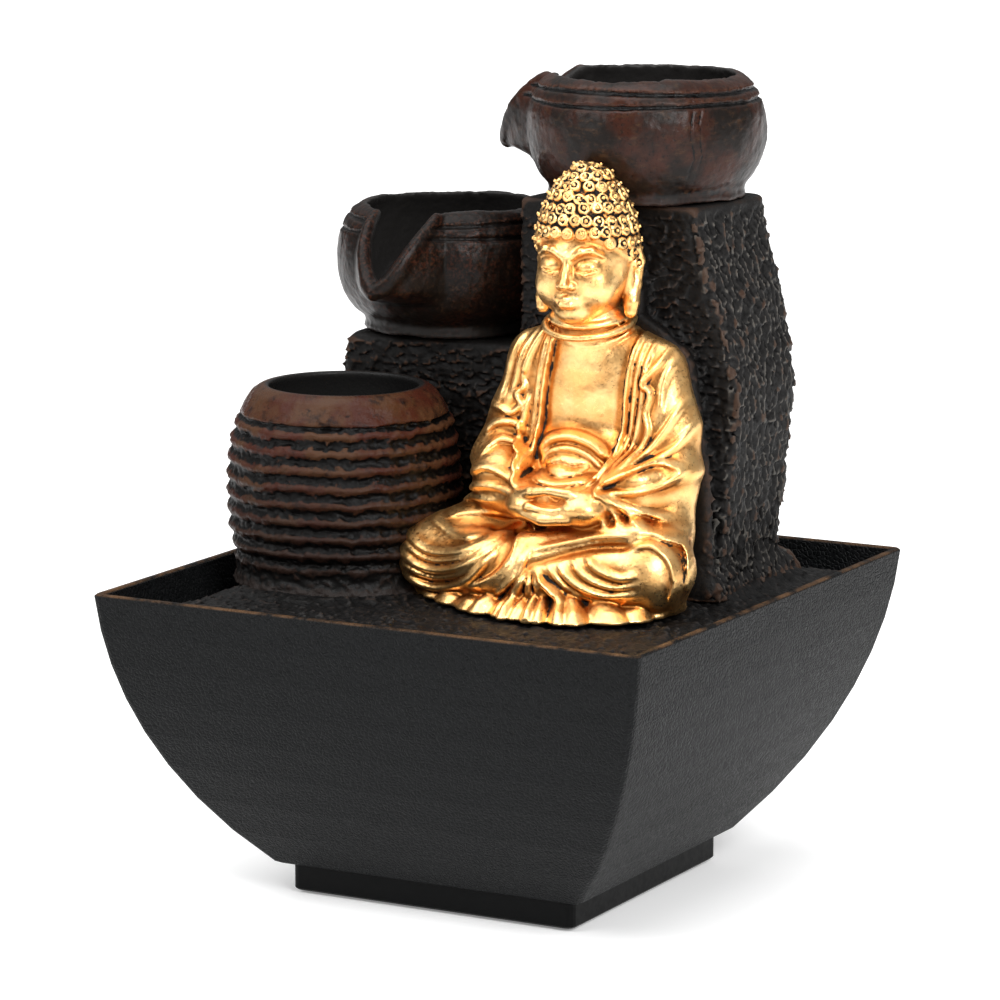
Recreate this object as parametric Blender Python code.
"""Tabletop water fountain: a square flared basin, a lift-out stone-look sculpture with three
stepped vessels and a seated figure, and a submersible pump hidden under the deck.

Metres, +Z up. The origin is on the table under the middle of the basin. -Y is the front.
"""
import math

import bmesh
import bpy
from mathutils import Matrix, Vector

# ---- fits ----
GAP = 0.0003  # clearance between pieces that touch
ROUND = 32  # sides of a turned vessel
SMALL_ROUND = 20  # sides of a pump piece
HOLE_ROUND = 12  # sides of a small hole

# ---- basin ----
RIM_HALF = 0.090
RIM_Z = 0.095
SHELL_FOOT_HALF = 0.0515  # half width of the flared shell where it meets the foot
SHELL_ARC = 0.1377  # radius of the flared wall's curve
WALL = 0.0026
FOOT_HALF = 0.0475
FOOT_TOP = 0.0098
FOOT_BASE_Z = 0.0010
FLOOR_THICK = 0.0035
BASIN_CORNER = 0.0022
LEDGE_Z = 0.066  # step inside the wall that carries the sculpture
LEDGE_WIDTH = 0.0070
SHELL_STEPS = 8
NOTCH_WIDTH = 0.009  # slot in the back rim for the pump's cord
NOTCH_DEPTH = 0.008
PAD_RADIUS = 0.006
PAD_POCKET = 0.0012
PAD_INSET = 0.010  # from the foot's edge to the pad's middle

# ---- deck ----
DECK_TOP = 0.090
DECK_MARGIN = 0.0034  # from the skirt to the basin wall, at the ledge
DECK_PLATE = 0.006
DECK_CORNER = 0.010
SKIRT_WALL = 0.005
DRAIN_WIDTH = 0.024  # arches in the skirt that let the water back to the pump
DRAIN_HEIGHT = 0.009
DECK_HOSE_HOLE = 0.010

# ---- tall rock ----
TALL_FRONT_Y = 0.015
TALL_BACK_Y = 0.060
TALL_LEFT_X = -0.0042
TALL_TOP = 0.2060
TALL_BASE_RIGHT_X = 0.063
TALL_BULGE_RIGHT_X = 0.0685
TALL_TOP_RIGHT_X = 0.0545
TALL_BULGE_SHARE = 0.46  # height of the bulge, as a share of the rock's height
TALL_WALL = 0.008
TALL_CAP = 0.010
ROCK_CHAMFER = 0.004
ROCK_CHIP = 0.0016  # deepest chip in a rock face
ROCK_EDGE_POINTS = 3  # points along each rock face

# ---- short rock ----
SHORT_FRONT_Y = 0.016
SHORT_BACK_Y = 0.062
SHORT_FRONT_LEFT_X = -0.0645
SHORT_BACK_LEFT_X = -0.070
SHORT_TOP = 0.161
SHORT_TOP_TAPER = 0.003
SHORT_WALL = 0.009

# ---- bowls ----
BOWL_BASE_RADIUS = 0.0275
BOWL_RADIUS = 0.036
BOWL_RIM_RADIUS = 0.0295
BOWL_MOUTH_RADIUS = 0.0265
BOWL_WALL = 0.0048
BOWL_FLOOR = 0.007
BOWL_HEIGHT = 0.0375
BEAK_REACH = 0.050  # from the bowl's axis to the tip of its pouring lip
BEAK_VALLEY = 0.0145  # height of the channel above the bowl's base
BEAK_HALF_WIDTH = 0.0085
BEAK_WALL = 0.0032
UPPER_BOWL_XY = (0.027, 0.038)
UPPER_BEAK_ANGLE = math.radians(179)
MIDDLE_BOWL_XY = (-0.040, 0.039)
MIDDLE_BEAK_ANGLE = math.radians(-87)

# ---- ribbed jar ----
JAR_XY = (-0.050, -0.011)
JAR_BASE_RADIUS = 0.0295
JAR_RADIUS = 0.0350
JAR_LIP_RADIUS = 0.0270
JAR_MOUTH_RADIUS = 0.0234
JAR_HEIGHT = 0.0600
JAR_SHOULDER = 0.0520  # height at which the ribs stop and the smooth collar starts
JAR_WALL = 0.0050
JAR_FLOOR = 0.0315  # above the knee that presses into its side
JAR_RIBS = 9
JAR_RIB_DEPTH = 0.0011

# ---- seated figure ----
FIGURE_XY = (0.0255, -0.001)
FIGURE_YAW = math.radians(5)
FIGURE_HEIGHT = 0.129
KNEE_HALF_SPAN = 0.051
SHOULDER_HALF = 0.033
FIGURE_BACK_Y = 0.0135  # flat back, in front of the rocks
FIGURE_VOXEL = 0.0021
FIGURE_DECIMATE = 0.15
PRESS_CLEAR = 0.0010  # how far the jar stands off the knee that presses into it

# ---- pump ----
PUMP_XY = (0.015, 0.030)  # axis of the outlet spigot
PUMP_WIDTH = 0.027
PUMP_HEIGHT = 0.027
CUP_HEIGHT = 0.0045
CUP_RADIUS = 0.0060
MOTOR_LENGTH = 0.026
VOLUTE_LENGTH = 0.0135
STRAINER_LENGTH = 0.0090
STRAINER_WALL = 0.0015
ROTOR_BORE = 0.0062
ROTOR_DEPTH = 0.020
MAGNET_RADIUS = 0.0052
SHAFT_RADIUS = 0.0010
SHAFT_CLEAR = 0.00008  # running clearance of the rotor on its fixed shaft
BUSH_RADIUS = 0.0024
BUSH_LENGTH = 0.0022
IMPELLER_RADIUS = 0.0082
IMPELLER_BLADES = 6
VOLUTE_RADIUS = 0.0095
INLET_HOLES = 6
INLET_CIRCLE = 0.0056
INLET_RADIUS = 0.0019
SPIGOT_RADIUS = 0.0038
SPIGOT_BORE = 0.0026
SPIGOT_HEIGHT = 0.0120
DIAL_RADIUS = 0.0050
DIAL_THICK = 0.0022
DIAL_STEM = 0.0016
SLOT_COUNT = 5
SLOT_WIDTH = 0.0016
GLAND_RADIUS = 0.0045
GLAND_LENGTH = 0.006
CORD_HOLE = 0.0028

# ---- riser hose ----
HOSE_BORE = 0.0042
HOSE_RADIUS = 0.0058
HOSE_OVERLAP = 0.0090  # length of hose over the spigot
NOZZLE_FLANGE = 0.0085
NOZZLE_PROUD = 0.0050

BOWL_FLOOR_Z = TALL_TOP + GAP + BOWL_FLOOR
FLOOR_Z = FOOT_BASE_Z + FLOOR_THICK
PUMP_BASE_Z = FLOOR_Z + GAP + CUP_HEIGHT
PUMP_AXIS_Z = PUMP_BASE_Z + PUMP_HEIGHT / 2
PUMP_TOP_Z = PUMP_BASE_Z + PUMP_HEIGHT


# ---- materials ----
def material(name, colour, roughness, metallic=0.0):
    made = bpy.data.materials.new(name)
    made.use_nodes = True
    shader = made.node_tree.nodes["Principled BSDF"]
    shader.inputs["Base Color"].default_value = (*colour, 1.0)
    shader.inputs["Roughness"].default_value = roughness
    shader.inputs["Metallic"].default_value = metallic
    return made


# ---- helpers ----
def finish(name, bm, surface, smooth_degrees=38.0):
    """Turn a bmesh into a named object whose faces point out."""
    bmesh.ops.recalc_face_normals(bm, faces=bm.faces)
    mesh = bpy.data.meshes.new(name)
    bm.to_mesh(mesh)
    bm.free()
    mesh.shade_smooth()
    mesh.set_sharp_from_angle(angle=math.radians(smooth_degrees))
    if surface:
        mesh.materials.append(surface)
    made = bpy.data.objects.new(name, mesh)
    bpy.context.scene.collection.objects.link(made)
    return made


def helper(made):
    """Mark an object as a cutter: it shapes other pieces and is no piece itself."""
    made.hide_render = True
    made.display_type = "WIRE"
    return made


def combine(target, other, operation="DIFFERENCE"):
    modifier = target.modifiers.new(other.name, "BOOLEAN")
    modifier.operation = operation
    modifier.object = helper(other)
    return target


def skin(bm, rings, cap_ends=True):
    """Join equal rings of points with quads, and close the first and last with a face."""
    loops = [[bm.verts.new(point) for point in ring] for ring in rings]
    for lower, upper in zip(loops, loops[1:]):
        for i in range(len(lower)):
            j = (i + 1) % len(lower)
            bm.faces.new((lower[i], lower[j], upper[j], upper[i]))
    if cap_ends:
        bm.faces.new(list(reversed(loops[0])))
        bm.faces.new(loops[-1])
    return loops


def square_ring(half, z, corner, corner_steps=3):
    """A square outline of the given half width with round corners, at height z."""
    points = []
    for quarter in range(4):
        turn = math.pi / 2 * quarter
        centre = Vector((half - corner, half - corner))
        centre.rotate(Matrix.Rotation(turn, 2))
        for step in range(corner_steps + 1):
            angle = turn + math.pi / 2 * step / corner_steps
            points.append(
                (centre.x + corner * math.cos(angle), centre.y + corner * math.sin(angle), z)
            )
    return points


def turned(name, profile, surface, segments=ROUND, closed=False, at=(0, 0, 0), along_x=False):
    """Spin an (r, z) profile round the Z axis. A closed profile makes a ring with a bore."""
    bm = bmesh.new()
    verts = [bm.verts.new((r, 0, z)) for r, z in profile]
    edges = [bm.edges.new(pair) for pair in zip(verts, verts[1:])]
    if closed:
        edges.append(bm.edges.new((verts[-1], verts[0])))
    bmesh.ops.spin(
        bm, geom=verts + edges, cent=(0, 0, 0), axis=(0, 0, 1),
        angle=math.tau, steps=segments, use_merge=True,
    )
    bmesh.ops.remove_doubles(bm, verts=bm.verts, dist=1e-6)
    if along_x:
        bmesh.ops.rotate(bm, verts=bm.verts, matrix=Matrix.Rotation(math.pi / 2, 3, "Y"))
    made = finish(name, bm, surface)
    made.location = at
    return made


def rod(name, radius, length, surface, at, segments=SMALL_ROUND, along_x=True, bore=0.0):
    """A plain cylinder or tube that starts at the given point."""
    if bore:
        profile = [(bore, 0), (radius, 0), (radius, length), (bore, length)]
    else:
        profile = [(0, 0), (radius, 0), (radius, length), (0, length)]
    return turned(name, profile, surface, segments, bool(bore), at, along_x)


def block(name, low, high, surface=None, bevel=0.0):
    """A box between two corners, with beveled edges if asked."""
    low, high = Vector(low), Vector(high)
    bm = bmesh.new()
    bmesh.ops.create_cube(bm, size=1.0)
    for vert in bm.verts:
        vert.co = Vector(
            (high[k] if vert.co[k] > 0 else low[k]) for k in range(3)
        )
    if bevel:
        bmesh.ops.bevel(
            bm, geom=bm.edges[:], offset=bevel, segments=2, profile=0.5, affect="EDGES"
        )
    return finish(name, bm, surface, 60.0)


# ---- basin ----
def arc_centre():
    """Centre of the wall's arc, through the shell's foot and the rim, bulging outwards."""
    foot = Vector((SHELL_FOOT_HALF, FOOT_TOP))
    rim = Vector((RIM_HALF, RIM_Z))
    chord = rim - foot
    inward = Vector((-chord.y, chord.x)).normalized()
    return (foot + rim) / 2 + inward * math.sqrt(SHELL_ARC**2 - (chord.length / 2) ** 2)


def shell_half(z, inset=0.0):
    """Half width of the flared wall at height z, or of its surface set in by a thickness."""
    centre = arc_centre()
    return centre.x + math.sqrt((SHELL_ARC - inset) ** 2 - (z - centre.y) ** 2)


def shell_z(half, inset=0.0):
    centre = arc_centre()
    return centre.y - math.sqrt((SHELL_ARC - inset) ** 2 - (half - centre.x) ** 2)


def basin_rings():
    edge = 0.0006  # small fillet on the rim and foot
    inner_rim_z = RIM_Z - edge
    ledge_half = shell_half(LEDGE_Z, WALL) - LEDGE_WIDTH
    under_ledge_z = shell_z(ledge_half, WALL)
    inner_foot = FOOT_HALF - WALL
    cove_z = FOOT_TOP + 2 * WALL
    levels = [(FOOT_HALF - edge, FOOT_BASE_Z), (FOOT_HALF, FOOT_BASE_Z + edge)]
    levels += [(FOOT_HALF, FOOT_TOP - edge), (SHELL_FOOT_HALF - edge, FOOT_TOP)]
    for step in range(SHELL_STEPS + 1):
        z = FOOT_TOP + edge + (inner_rim_z - FOOT_TOP - edge) * step / SHELL_STEPS
        levels.append((shell_half(z), z))
    levels += [(RIM_HALF - edge, RIM_Z), (shell_half(RIM_Z, WALL) + edge, RIM_Z)]
    for step in range(3):
        z = inner_rim_z + (LEDGE_Z - inner_rim_z) * step / 2
        levels.append((shell_half(z, WALL), z))
    levels += [(ledge_half, LEDGE_Z)]
    for step in range(5):
        z = under_ledge_z + (cove_z - under_ledge_z) * step / 4
        levels.append((shell_half(z, WALL), z))
    levels += [(inner_foot, FOOT_TOP + WALL / 2), (inner_foot, FLOOR_Z)]
    return [square_ring(half, z, BASIN_CORNER) for half, z in levels]


def make_basin(plastic, rubber):
    bm = bmesh.new()
    skin(bm, basin_rings())
    basin = finish("basin", bm, plastic)
    notch = block(
        "cutter_cord_notch",
        (-NOTCH_WIDTH / 2, RIM_HALF - 4 * WALL, RIM_Z - NOTCH_DEPTH),
        (NOTCH_WIDTH / 2, RIM_HALF + WALL, RIM_Z + WALL),
    )
    combine(basin, notch)
    reach = FOOT_HALF - PAD_INSET
    pad_height = FOOT_BASE_Z + PAD_POCKET - GAP
    for across, x in (("left", -reach), ("right", reach)):
        for along, y in (("front", -reach), ("back", reach)):
            rod(f"foot_pad_{along}_{across}", PAD_RADIUS, pad_height, rubber, (x, y, 0), along_x=False)
            pocket = rod(
                f"cutter_pad_{along}_{across}", PAD_RADIUS + GAP, 2 * PAD_POCKET, None,
                (x, y, FOOT_BASE_Z - PAD_POCKET), along_x=False,
            )
            combine(basin, pocket)


# ---- deck ----
def make_deck(stone):
    top, under = DECK_TOP, DECK_TOP - DECK_PLATE
    base = LEDGE_Z + GAP
    outer = shell_half(LEDGE_Z, WALL) - DECK_MARGIN
    inner = outer - SKIRT_WALL
    edge = 0.0015
    bm = bmesh.new()
    skin(bm, [
        square_ring(inner, under, DECK_CORNER - SKIRT_WALL),
        square_ring(inner, base, DECK_CORNER - SKIRT_WALL),
        square_ring(outer, base, DECK_CORNER),
        square_ring(outer, top - edge, DECK_CORNER),
        square_ring(outer - edge, top, DECK_CORNER),
    ])
    deck = finish("deck", bm, stone)
    hole = rod(
        "cutter_hose_hole", DECK_HOSE_HOLE, 3 * DECK_PLATE, None,
        (*PUMP_XY, under - DECK_PLATE), along_x=False,
    )
    combine(deck, hole)
    reach = outer + SKIRT_WALL
    for name, x, y in (("x", reach, DRAIN_WIDTH / 2), ("y", DRAIN_WIDTH / 2, reach)):
        drain = block(
            f"cutter_drain_{name}", (-x, -y, base - DRAIN_HEIGHT), (x, y, base + DRAIN_HEIGHT)
        )
        combine(deck, drain)


# ---- rocks ----
def chip(level, index):
    """Depth of the chip at one point of a rock face: a fixed, uneven pattern."""
    wave = math.sin(level * 2.399 + index * 4.137) + math.sin(level * 5.31 - index * 1.71)
    return ROCK_CHIP * (0.5 + 0.25 * wave)


def rock_ring(corners, z, level):
    """A polygon at height z with its corners cut off and its sides chipped inwards."""
    points = []
    count = len(corners)
    for i in range(count):
        here, there = Vector(corners[i]), Vector(corners[(i + 1) % count])
        along = (there - here).normalized()
        inward = Vector((-along.y, along.x))
        length = (there - here).length - 2 * ROCK_CHAMFER
        for step in range(ROCK_EDGE_POINTS):
            run = ROCK_CHAMFER + length * step / (ROCK_EDGE_POINTS - 1)
            point = here + along * run + inward * chip(level, i * ROCK_EDGE_POINTS + step)
            points.append((point.x, point.y, z))
    return points


def tall_right_x(share):
    """The right face bulges: out from the base to the bulge, then in to the top."""
    if share < TALL_BULGE_SHARE:
        rise = math.sin(math.pi / 2 * share / TALL_BULGE_SHARE)
        return TALL_BASE_RIGHT_X + (TALL_BULGE_RIGHT_X - TALL_BASE_RIGHT_X) * rise
    fall = (share - TALL_BULGE_SHARE) / (1 - TALL_BULGE_SHARE)
    return TALL_BULGE_RIGHT_X - (TALL_BULGE_RIGHT_X - TALL_TOP_RIGHT_X) * fall**1.6


def make_tall_rock(stone, middle_bowl_envelope):
    base = DECK_TOP + GAP
    steps = 8
    rings = []
    for step in range(steps + 1):
        share = step / steps
        right = tall_right_x(share)
        corners = [
            (TALL_LEFT_X, TALL_FRONT_Y), (right, TALL_FRONT_Y),
            (right + 0.001, TALL_BACK_Y), (TALL_LEFT_X, TALL_BACK_Y),
        ]
        rings.append(rock_ring(corners, base + (TALL_TOP - base) * share, step))
    bm = bmesh.new()
    skin(bm, rings)
    rock = finish("tall_rock", bm, stone, 25)
    cavity = block(
        "cutter_tall_cavity",
        (TALL_LEFT_X + TALL_WALL, TALL_FRONT_Y + TALL_WALL, base - TALL_WALL),
        (TALL_TOP_RIGHT_X - TALL_WALL, TALL_BACK_Y - TALL_WALL, TALL_TOP - TALL_CAP),
    )
    combine(rock, cavity)
    bore = rod(
        "cutter_tall_bore", HOSE_RADIUS + GAP, 3 * TALL_CAP, None,
        (*UPPER_BOWL_XY, TALL_TOP - 2 * TALL_CAP), along_x=False,
    )
    combine(rock, bore)
    combine(rock, middle_bowl_envelope)


def make_short_rock(stone, jar_envelope):
    base = DECK_TOP + GAP
    right = TALL_LEFT_X - GAP
    steps = 4
    rings = []
    for step in range(steps + 1):
        share = step / steps
        taper = SHORT_TOP_TAPER * share**2
        corners = [
            (SHORT_FRONT_LEFT_X + taper, SHORT_FRONT_Y), (right, SHORT_FRONT_Y),
            (right, SHORT_BACK_Y - taper), (SHORT_BACK_LEFT_X + taper, SHORT_BACK_Y - taper),
        ]
        rings.append(rock_ring(corners, base + (SHORT_TOP - base) * share, step + ROUND))
    bm = bmesh.new()
    skin(bm, rings)
    rock = finish("short_rock", bm, stone, 25)
    jar_back = JAR_XY[1] + JAR_RADIUS
    cavity = block(
        "cutter_short_cavity",
        (SHORT_FRONT_LEFT_X + SHORT_WALL, jar_back + SHORT_WALL, base - SHORT_WALL),
        (right - SHORT_WALL, SHORT_BACK_Y - SHORT_WALL, SHORT_TOP - SHORT_WALL),
    )
    combine(rock, cavity)
    combine(rock, jar_envelope)


# ---- bowls ----
def bowl_outline():
    """Outer (r, z) profile of a bowl, from the edge of its flat base to its rim."""
    widest = 0.54 * BOWL_HEIGHT
    points = []
    for step in range(5):
        turn = math.pi / 2 * step / 4
        radius = BOWL_BASE_RADIUS + (BOWL_RADIUS - BOWL_BASE_RADIUS) * math.sin(turn)
        points.append((radius, widest * (1 - math.cos(turn)) ** 0.9))
    for step in range(1, 4):
        turn = math.pi / 2 * step / 3
        radius = BOWL_RIM_RADIUS + (BOWL_RADIUS - BOWL_RIM_RADIUS) * math.cos(turn) ** 1.2
        points.append((radius, widest + (BOWL_HEIGHT - 0.0015 - widest) * math.sin(turn)))
    return points


def bowl_body_profile(grow=0.0):
    outline = [(r + grow, z) for r, z in bowl_outline()]
    top = BOWL_HEIGHT + grow
    return [(0, -grow), (outline[0][0], -grow), *outline[1:], (BOWL_RIM_RADIUS - 0.0015, top), (0, top)]


def bowl_cavity_profile():
    inner = BOWL_RADIUS - BOWL_WALL
    floor_edge = BOWL_BASE_RADIUS - 1.6 * BOWL_WALL
    return [
        (0, BOWL_FLOOR), (floor_edge, BOWL_FLOOR), (inner - 0.002, 0.35 * BOWL_HEIGHT),
        (inner, 0.55 * BOWL_HEIGHT), (inner - 0.0015, 0.72 * BOWL_HEIGHT),
        (BOWL_MOUTH_RADIUS + 0.0015, 0.90 * BOWL_HEIGHT), (BOWL_MOUTH_RADIUS, 0.97 * BOWL_HEIGHT),
        (BOWL_MOUTH_RADIUS + 0.001, BOWL_HEIGHT + 0.004), (0, BOWL_HEIGHT + 0.004),
    ]


def beak_sections(inner):
    """V-shaped sections of the pouring lip along +X: the solid lip, or the channel cut in it."""
    start = BOWL_MOUTH_RADIUS - 0.004
    end = BEAK_REACH + (0.004 if inner else 0.0)
    rings = []
    for step in range(6):
        share = step / 5
        x = start + (end - start) * share
        lip_z = BEAK_VALLEY + (BOWL_HEIGHT - BEAK_VALLEY) * math.sqrt(max(0.0, 1 - share**2.2))
        width = BEAK_HALF_WIDTH * (1 - 0.62 * share**2)
        if inner:
            slope = (BOWL_HEIGHT - BEAK_VALLEY) / width
            high = BOWL_HEIGHT + 0.006
            spread = (high - BEAK_VALLEY) / slope
            rings.append([(x, 0, BEAK_VALLEY), (x, spread, high), (x, -spread, high)])
        else:
            out = width + BEAK_WALL
            low = BEAK_VALLEY - BEAK_WALL
            high = max(lip_z, low + 2 * BEAK_WALL)
            belly = 0.62 * out
            middle = low + 0.3 * (high - low)
            rings.append([
                (x, -belly * 0.45, low), (x, belly * 0.45, low), (x, belly, middle),
                (x, out, high), (x, -out, high), (x, -belly, middle),
            ])
    return rings


def beak_piece(name, inner, place):
    bm = bmesh.new()
    skin(bm, beak_sections(inner))
    made = helper(finish(name, bm, None))
    made.matrix_world = place
    return made


def make_bowl(name, surface, xy, base_z, beak_angle):
    place = Matrix.Translation((*xy, base_z)) @ Matrix.Rotation(beak_angle, 4, "Z")
    bowl = turned(name, bowl_body_profile(), surface)
    bowl.matrix_world = place
    combine(bowl, beak_piece(f"{name}_beak", False, place), "UNION")
    cavity = turned(f"cutter_{name}_cavity", bowl_cavity_profile(), None)
    cavity.matrix_world = place
    combine(bowl, cavity)
    combine(bowl, beak_piece(f"cutter_{name}_channel", True, place))
    return bowl


# ---- jar ----
def jar_outline():
    """Outer (r, z) profile of the jar: ribbed belly, then a smooth collar up to the lip."""
    belly_z = 0.5 * JAR_HEIGHT
    points = [(JAR_BASE_RADIUS, 0.0)]
    rib_pitch = (JAR_SHOULDER - 0.003) / JAR_RIBS

    def belly(z):
        span = belly_z if z < belly_z else JAR_HEIGHT - belly_z
        end = JAR_BASE_RADIUS if z < belly_z else JAR_LIP_RADIUS
        return end + (JAR_RADIUS - end) * math.sqrt(max(0.0, 1 - ((z - belly_z) / span) ** 2))

    for rib in range(JAR_RIBS):
        z = 0.003 + rib_pitch * rib
        points.append((belly(z) - JAR_RIB_DEPTH, z))
        points.append((belly(z + 0.6 * rib_pitch), z + 0.6 * rib_pitch))
    points.append((belly(JAR_SHOULDER) - JAR_RIB_DEPTH, JAR_SHOULDER))
    points.append((belly(JAR_SHOULDER + 0.001), JAR_SHOULDER + 0.001))
    points.append((JAR_LIP_RADIUS + 0.0012, JAR_HEIGHT - 0.0016))
    points.append((JAR_LIP_RADIUS - 0.0012, JAR_HEIGHT))
    return points


def make_jar(surface):
    inner = JAR_RADIUS - JAR_WALL
    profile = [(0, 0), *jar_outline()]
    profile += [
        (JAR_MOUTH_RADIUS + 0.0008, JAR_HEIGHT), (JAR_MOUTH_RADIUS, JAR_HEIGHT - 0.0015),
        (JAR_MOUTH_RADIUS + 0.001, JAR_HEIGHT - 0.006), (inner - 0.002, 0.72 * JAR_HEIGHT),
        (inner, 0.5 * JAR_HEIGHT), (JAR_BASE_RADIUS - JAR_WALL, JAR_FLOOR), (0, JAR_FLOOR),
    ]
    return turned("ribbed_jar", profile, surface, at=(*JAR_XY, DECK_TOP + GAP))


def envelope(name, outline, at, height):
    """A plain turned solid a clearance larger than a vessel, to shape its neighbours."""
    grown = [(r + GAP, z) for r, z in outline]
    profile = [(0, -GAP), (grown[0][0], -GAP), *grown[1:], (grown[-1][0], height + GAP), (0, height + GAP)]
    return helper(turned(name, profile, None, at=at))


# ---- figure ----
def figure_lobes():
    """Round masses of the figure as (centre, radii), about its seat, facing -Y."""
    h, knee, shoulder = FIGURE_HEIGHT, KNEE_HALF_SPAN, SHOULDER_HALF
    lobes = [
        ((0, -0.016, 0.10 * h), (0.80 * knee, 0.019, 0.012)),
        ((0, -0.024, 0.04 * h), (0.78 * knee, 0.0115, 0.0060)),
        ((0, 0.000, 0.33 * h), (0.62 * shoulder, 0.0140, 0.030)),
        ((0, -0.001, 0.50 * h), (0.76 * shoulder, 0.0135, 0.020)),
        ((0, 0.002, 0.60 * h), (0.88 * shoulder, 0.0120, 0.012)),
        ((0, -0.0255, 0.215 * h), (0.016, 0.0085, 0.0055)),
        ((0, -0.003, 0.645 * h), (0.0095, 0.0095, 0.012)),
        ((0, -0.004, 0.790 * h), (0.0145, 0.0150, 0.0190)),
        ((0, -0.0015, 0.845 * h), (0.0158, 0.0150, 0.0130)),
        ((0, -0.0010, 0.925 * h), (0.0095, 0.0095, 0.0097)),
        ((0, -0.0195, 0.765 * h), (0.0022, 0.0022, 0.0045)),
    ]
    for side in (-1, 1):
        lobes += [
            ((side * 0.74 * knee, -0.017, 0.115 * h), (0.26 * knee, 0.0145, 0.0145)),
            ((side * 0.45 * knee, -0.012, 0.12 * h), (0.42 * knee, 0.015, 0.0135)),
            ((side * 0.84 * shoulder, 0.002, 0.555 * h), (0.0090, 0.0105, 0.0150)),
            ((side * 0.90 * shoulder, 0.001, 0.44 * h), (0.0088, 0.0105, 0.0190)),
            ((side * 0.86 * shoulder, -0.002, 0.31 * h), (0.0092, 0.0115, 0.0150)),
            ((side * 0.68 * shoulder, -0.013, 0.245 * h), (0.0140, 0.0125, 0.0095)),
            ((side * 0.76 * shoulder, -0.006, 0.20 * h), (0.0125, 0.0150, 0.0130)),
            ((side * 0.0155, 0.001, 0.755 * h), (0.0024, 0.0040, 0.0095)),
        ]
    return lobes


def figure_place():
    return Matrix.Translation((*FIGURE_XY, DECK_TOP + GAP)) @ Matrix.Rotation(FIGURE_YAW, 4, "Z")


def press_jar(jar):
    """Hollow the jar's side where the figure's near knee and sleeve press against it."""
    for number, (centre, radii) in enumerate(figure_lobes()):
        bm = bmesh.new()
        grown = Matrix.Diagonal((*[r + PRESS_CLEAR for r in radii], 1.0))
        matrix = figure_place() @ Matrix.Translation(centre) @ grown
        bmesh.ops.create_icosphere(bm, subdivisions=2, radius=1.0, matrix=matrix)
        gaps = [(Vector((v.co.x, v.co.y)) - Vector(JAR_XY)).length for v in bm.verts]
        if min(gaps) > JAR_RADIUS:
            bm.free()
            continue
        combine(jar, finish(f"cutter_press_{number}", bm, None))


def make_figure(gold, cutters):
    place = figure_place()
    bm = bmesh.new()
    for centre, radii in figure_lobes():
        matrix = Matrix.Translation(centre) @ Matrix.Diagonal((*radii, 1.0))
        bmesh.ops.create_icosphere(bm, subdivisions=3, radius=1.0, matrix=matrix)
    spine = Matrix.Translation((0, 0.009, 0.33 * FIGURE_HEIGHT))
    bmesh.ops.create_cube(
        bm, size=1.0, matrix=spine @ Matrix.Diagonal((1.5 * SHOULDER_HALF, 0.014, 0.50 * FIGURE_HEIGHT, 1.0))
    )
    bmesh.ops.transform(bm, matrix=place, verts=bm.verts)
    figure = finish("seated_figure", bm, gold)
    remesh = figure.modifiers.new("merge_masses", "REMESH")
    remesh.mode = "VOXEL"
    remesh.voxel_size = FIGURE_VOXEL
    remesh.use_smooth_shade = True
    smooth = figure.modifiers.new("soften", "SMOOTH")
    smooth.factor = 0.5
    smooth.iterations = 3
    thin = figure.modifiers.new("thin", "DECIMATE")
    thin.ratio = FIGURE_DECIMATE
    far = 2 * FIGURE_HEIGHT
    flat_base = block("cutter_figure_base", (-far, -far, -far), (far, far, DECK_TOP + GAP))
    flat_back = block("cutter_figure_back", (-far, FIGURE_BACK_Y, -far), (far, far, 2 * far))
    for cutter in (flat_base, flat_back, *cutters):
        combine(figure, cutter)
    return figure


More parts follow.
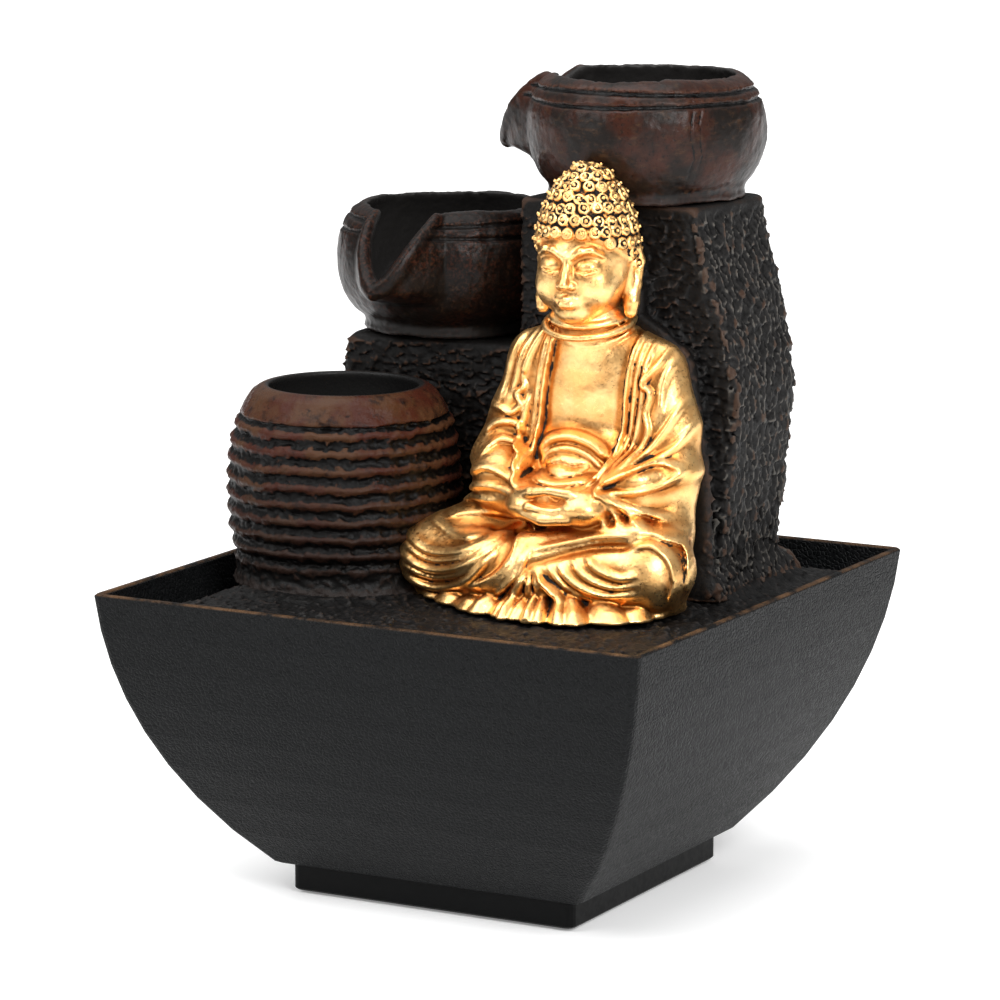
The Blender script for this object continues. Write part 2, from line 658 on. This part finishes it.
# ---- pump ----
def make_pump_case(black, dark):
    x0, y0 = PUMP_XY
    half = PUMP_WIDTH / 2
    volute_back = x0 - VOLUTE_LENGTH / 2
    volute_front = x0 + VOLUTE_LENGTH / 2
    motor_front = volute_back - GAP
    motor_back = motor_front - MOTOR_LENGTH
    motor = block(
        "pump_motor_housing", (motor_back, y0 - half, PUMP_BASE_Z),
        (motor_front, y0 + half, PUMP_TOP_Z), black, 0.0015,
    )
    rotor_well = rod(
        "cutter_rotor_well", ROTOR_BORE, ROTOR_DEPTH + 2 * GAP, None,
        (motor_front - ROTOR_DEPTH, y0, PUMP_AXIS_Z),
    )
    combine(motor, rotor_well)
    rod(
        "cable_gland", GLAND_RADIUS, GLAND_LENGTH, dark,
        (motor_back - GAP - GLAND_LENGTH, y0, PUMP_AXIS_Z),
    )
    cord_hole = rod(
        "cutter_cord_hole", CORD_HOLE, GLAND_LENGTH, None,
        (motor_back - GAP - 1.4 * GLAND_LENGTH, y0, PUMP_AXIS_Z),
    )
    combine(bpy.data.objects["cable_gland"], cord_hole)
    volute = block(
        "pump_volute_cover", (volute_back, y0 - half, PUMP_BASE_Z),
        (volute_front, y0 + half, PUMP_TOP_Z), black, 0.0010,
    )
    spigot = rod(
        "spigot_tube", SPIGOT_RADIUS, SPIGOT_HEIGHT + 0.002, None,
        (x0, y0, PUMP_TOP_Z - 0.002), along_x=False,
    )
    combine(volute, spigot, "UNION")
    chamber = rod(
        "cutter_volute_chamber", VOLUTE_RADIUS, VOLUTE_LENGTH, None,
        (volute_back - 0.0025, y0, PUMP_AXIS_Z),
    )
    combine(volute, chamber)
    for hole in range(INLET_HOLES):
        turn = math.tau * (hole + 0.5) / INLET_HOLES
        y, z = y0 + INLET_CIRCLE * math.cos(turn), PUMP_AXIS_Z + INLET_CIRCLE * math.sin(turn)
        cutter = rod(f"cutter_inlet_{hole}", INLET_RADIUS, VOLUTE_LENGTH, None, (x0, y, z), HOLE_ROUND)
        combine(volute, cutter)
    riser = rod(
        "cutter_spigot_bore", SPIGOT_BORE, SPIGOT_HEIGHT + PUMP_HEIGHT / 2, None,
        (x0, y0, PUMP_AXIS_Z + VOLUTE_RADIUS / 2), along_x=False,
    )
    combine(volute, riser)
    seat = rod(
        "cutter_front_bush", BUSH_RADIUS + GAP, VOLUTE_LENGTH, None,
        (x0, y0, PUMP_AXIS_Z),
    )
    combine(volute, seat)
    return motor_front, volute_front


def make_rotor(motor_front, volute_front, ceramic, white, steel):
    x0, y0 = PUMP_XY
    bore = SHAFT_RADIUS + SHAFT_CLEAR
    well_end = motor_front - ROTOR_DEPTH
    rod("bush_rear", BUSH_RADIUS, BUSH_LENGTH, ceramic, (well_end + GAP, y0, PUMP_AXIS_Z), bore=bore)
    front_start = volute_front - BUSH_LENGTH
    rod("bush_front", BUSH_RADIUS, BUSH_LENGTH - GAP, ceramic, (front_start, y0, PUMP_AXIS_Z), bore=bore)
    shaft_start = well_end + GAP
    rod("rotor_shaft", SHAFT_RADIUS, volute_front - GAP - shaft_start, steel, (shaft_start, y0, PUMP_AXIS_Z))
    magnet_start = well_end + BUSH_LENGTH + 3 * GAP
    magnet_length = motor_front - magnet_start - 0.0010
    rod("rotor_magnet", MAGNET_RADIUS, magnet_length, steel, (magnet_start, y0, PUMP_AXIS_Z), bore=bore)
    hub_start = motor_front - 0.0010 + GAP
    hub_length = 0.0075
    impeller = rod("impeller", 0.0034, hub_length, white, (hub_start, y0, PUMP_AXIS_Z))
    for blade in range(IMPELLER_BLADES // 2):
        vane = block(
            f"impeller_vane_{blade}", (0, -IMPELLER_RADIUS, -0.0006),
            (hub_length - 0.0030, IMPELLER_RADIUS, 0.0006),
        )
        vane.location = (hub_start + 0.0015, y0, PUMP_AXIS_Z)
        vane.rotation_euler = (math.pi * blade / (IMPELLER_BLADES // 2), 0, 0)
        combine(impeller, vane, "UNION")
    shaft_hole = rod("cutter_impeller_bore", bore, 0.02, None, (hub_start - 0.005, y0, PUMP_AXIS_Z))
    combine(impeller, shaft_hole)


def make_strainer(volute_front, black, dark):
    x0, y0 = PUMP_XY
    half = PUMP_WIDTH / 2
    back = volute_front + GAP
    front = back + STRAINER_LENGTH
    strainer = block(
        "strainer_cover", (back, y0 - half, PUMP_BASE_Z), (front, y0 + half, PUMP_TOP_Z), black, 0.0010
    )
    hollow = block(
        "cutter_strainer_hollow",
        (back - STRAINER_WALL, y0 - half + STRAINER_WALL, PUMP_BASE_Z + STRAINER_WALL),
        (front - STRAINER_WALL, y0 + half - STRAINER_WALL, PUMP_TOP_Z - STRAINER_WALL),
    )
    combine(strainer, hollow)
    stem_hole = rod(
        "cutter_dial_stem", DIAL_STEM + GAP, 4 * STRAINER_WALL, None,
        (front - 3 * STRAINER_WALL, y0, PUMP_AXIS_Z),
    )
    combine(strainer, stem_hole)
    for side in (-1, 1):
        for slot in range(SLOT_COUNT):
            z = PUMP_AXIS_Z + (slot - (SLOT_COUNT - 1) / 2) * 2.6 * SLOT_WIDTH
            inner, outer = DIAL_RADIUS + 0.0012, half - 2 * STRAINER_WALL
            opening = block(
                f"cutter_slot_{side}_{slot}",
                (front - 2 * STRAINER_WALL, y0 + min(side * inner, side * outer), z - SLOT_WIDTH / 2),
                (front + STRAINER_WALL, y0 + max(side * inner, side * outer), z + SLOT_WIDTH / 2),
            )
            combine(strainer, opening)
    dial = rod("flow_dial", DIAL_RADIUS, DIAL_THICK, dark, (front + GAP, y0, PUMP_AXIS_Z))
    stem = rod(
        "dial_stem", DIAL_STEM, STRAINER_WALL + 0.0012, None,
        (front + 2 * GAP - STRAINER_WALL - 0.001, y0, PUMP_AXIS_Z),
    )
    combine(dial, stem, "UNION")
    grip = block(
        "dial_grip", (front + DIAL_THICK - 0.0005, y0 - 0.0008, PUMP_AXIS_Z - 0.8 * DIAL_RADIUS),
        (front + DIAL_THICK + 0.0014, y0 + 0.0008, PUMP_AXIS_Z + 0.8 * DIAL_RADIUS),
    )
    combine(dial, grip, "UNION")


def make_suction_cups(rubber):
    x0, y0 = PUMP_XY
    left = x0 - VOLUTE_LENGTH / 2 - MOTOR_LENGTH + CUP_RADIUS
    right = x0 + VOLUTE_LENGTH / 2 - 0.4 * CUP_RADIUS
    spread = PUMP_WIDTH / 2 - CUP_RADIUS
    lip = 0.0009
    profile = [
        (0, lip), (0.6 * CUP_RADIUS, 0.6 * lip), (CUP_RADIUS - 0.0004, 0), (CUP_RADIUS, 0.0004),
        (0.55 * CUP_RADIUS, 0.45 * CUP_HEIGHT), (0.42 * CUP_RADIUS, CUP_HEIGHT - GAP), (0, CUP_HEIGHT - GAP),
    ]
    for across, x in (("left", left), ("right", right)):
        for along, y in (("front", y0 - spread), ("back", y0 + spread)):
            turned(
                f"suction_cup_{along}_{across}", profile, rubber, SMALL_ROUND, at=(x, y, FLOOR_Z + GAP)
            )


# ---- riser hose and nozzle ----
def hose_centreline(steps=10):
    """Straight up off the spigot, a smooth S across to the bowl's axis, then straight up."""
    start = Vector((*PUMP_XY, PUMP_TOP_Z + SPIGOT_HEIGHT - HOSE_OVERLAP))
    end = Vector((*UPPER_BOWL_XY, BOWL_FLOOR_Z - BOWL_FLOOR - GAP))
    straight_low, straight_high = DECK_TOP + 0.004, TALL_TOP - TALL_CAP - 0.010
    points = [start]
    for step in range(steps + 1):
        share = step / steps
        ease = share * share * (3 - 2 * share)
        flat = Vector(start).lerp(end, ease)
        points.append(Vector((flat.x, flat.y, straight_low + (straight_high - straight_low) * share)))
    points.append(end)
    return points


def make_hose(silicone):
    sides = 12
    path = hose_centreline()
    tangents = []
    for i in range(len(path)):
        tangents.append((path[min(i + 1, len(path) - 1)] - path[max(i - 1, 0)]).normalized())
    tangents[0] = tangents[-1] = tangents[1] = tangents[-2] = Vector((0, 0, 1))
    rings = []
    for radius, order in ((HOSE_RADIUS, range(len(path))), (HOSE_BORE, reversed(range(len(path))))):
        for i in order:
            across = Vector((0, 1, 0)).cross(tangents[i]).normalized()
            other = tangents[i].cross(across)
            rings.append([
                path[i] + (across * math.cos(math.tau * k / sides) + other * math.sin(math.tau * k / sides)) * radius
                for k in range(sides)
            ])
    bm = bmesh.new()
    loops = skin(bm, rings, cap_ends=False)
    for k in range(sides):
        j = (k + 1) % sides
        bm.faces.new((loops[-1][k], loops[-1][j], loops[0][j], loops[0][k]))
    return finish("riser_hose", bm, silicone)


def make_nozzle(dark, upper_bowl):
    barb = HOSE_BORE - GAP
    bore = barb - 0.0014
    drop = 0.012
    top = BOWL_FLOOR_Z + GAP + NOZZLE_PROUD
    flange_z = BOWL_FLOOR_Z + GAP
    profile = [
        (bore, flange_z - drop), (barb - 0.0004, flange_z - drop), (barb, flange_z - drop + 0.001),
        (barb, flange_z), (NOZZLE_FLANGE, flange_z), (NOZZLE_FLANGE, flange_z + 0.0016),
        (barb + 0.001, flange_z + 0.0022), (barb, top), (bore, top),
    ]
    turned("outlet_nozzle", profile, dark, SMALL_ROUND, closed=True, at=(*UPPER_BOWL_XY, 0))
    through = rod(
        "cutter_nozzle_hole", barb + GAP, 2 * BOWL_FLOOR, None,
        (*UPPER_BOWL_XY, TALL_TOP - BOWL_FLOOR / 2), along_x=False,
    )
    combine(upper_bowl, through)


def main():
    for old in list(bpy.data.objects):
        bpy.data.objects.remove(old)
    plastic = material("basin_black", (0.022, 0.023, 0.024), 0.55)
    stone = material("rock_dark", (0.035, 0.028, 0.025), 0.75)
    brown = material("vessel_brown", (0.085, 0.035, 0.022), 0.45)
    gold = material("figure_gold", (0.85, 0.50, 0.16), 0.30, 0.9)
    rubber = material("rubber_black", (0.02, 0.02, 0.02), 0.8)
    black = material("pump_black", (0.015, 0.015, 0.017), 0.4)
    dark = material("pump_grey", (0.10, 0.10, 0.11), 0.5)
    white = material("impeller_white", (0.75, 0.75, 0.72), 0.4)
    steel = material("steel", (0.45, 0.45, 0.46), 0.3, 1.0)
    ceramic = material("ceramic", (0.80, 0.78, 0.74), 0.3)
    silicone = material("silicone_clear", (0.70, 0.72, 0.72), 0.25)

    upper_base = TALL_TOP + GAP
    middle_base = SHORT_TOP + GAP
    jar_at = (*JAR_XY, DECK_TOP + GAP)
    jar_space = envelope("envelope_jar", jar_outline(), jar_at, JAR_HEIGHT)
    middle_space = envelope("envelope_middle", bowl_outline(), (*MIDDLE_BOWL_XY, middle_base), BOWL_HEIGHT)
    upper_space = envelope("envelope_upper", bowl_outline(), (*UPPER_BOWL_XY, upper_base), BOWL_HEIGHT)

    make_basin(plastic, rubber)
    make_deck(stone)
    make_tall_rock(stone, middle_space)
    make_short_rock(stone, jar_space)
    make_bowl("middle_bowl", brown, MIDDLE_BOWL_XY, middle_base, MIDDLE_BEAK_ANGLE)
    upper_bowl = make_bowl("upper_bowl", brown, UPPER_BOWL_XY, upper_base, UPPER_BEAK_ANGLE)
    press_jar(make_jar(brown))
    make_figure(gold, (upper_space,))
    motor_front, volute_front = make_pump_case(black, dark)
    make_rotor(motor_front, volute_front, ceramic, white, steel)
    make_strainer(volute_front, black, dark)
    make_suction_cups(rubber)
    make_hose(silicone)
    make_nozzle(dark, upper_bowl)


main()
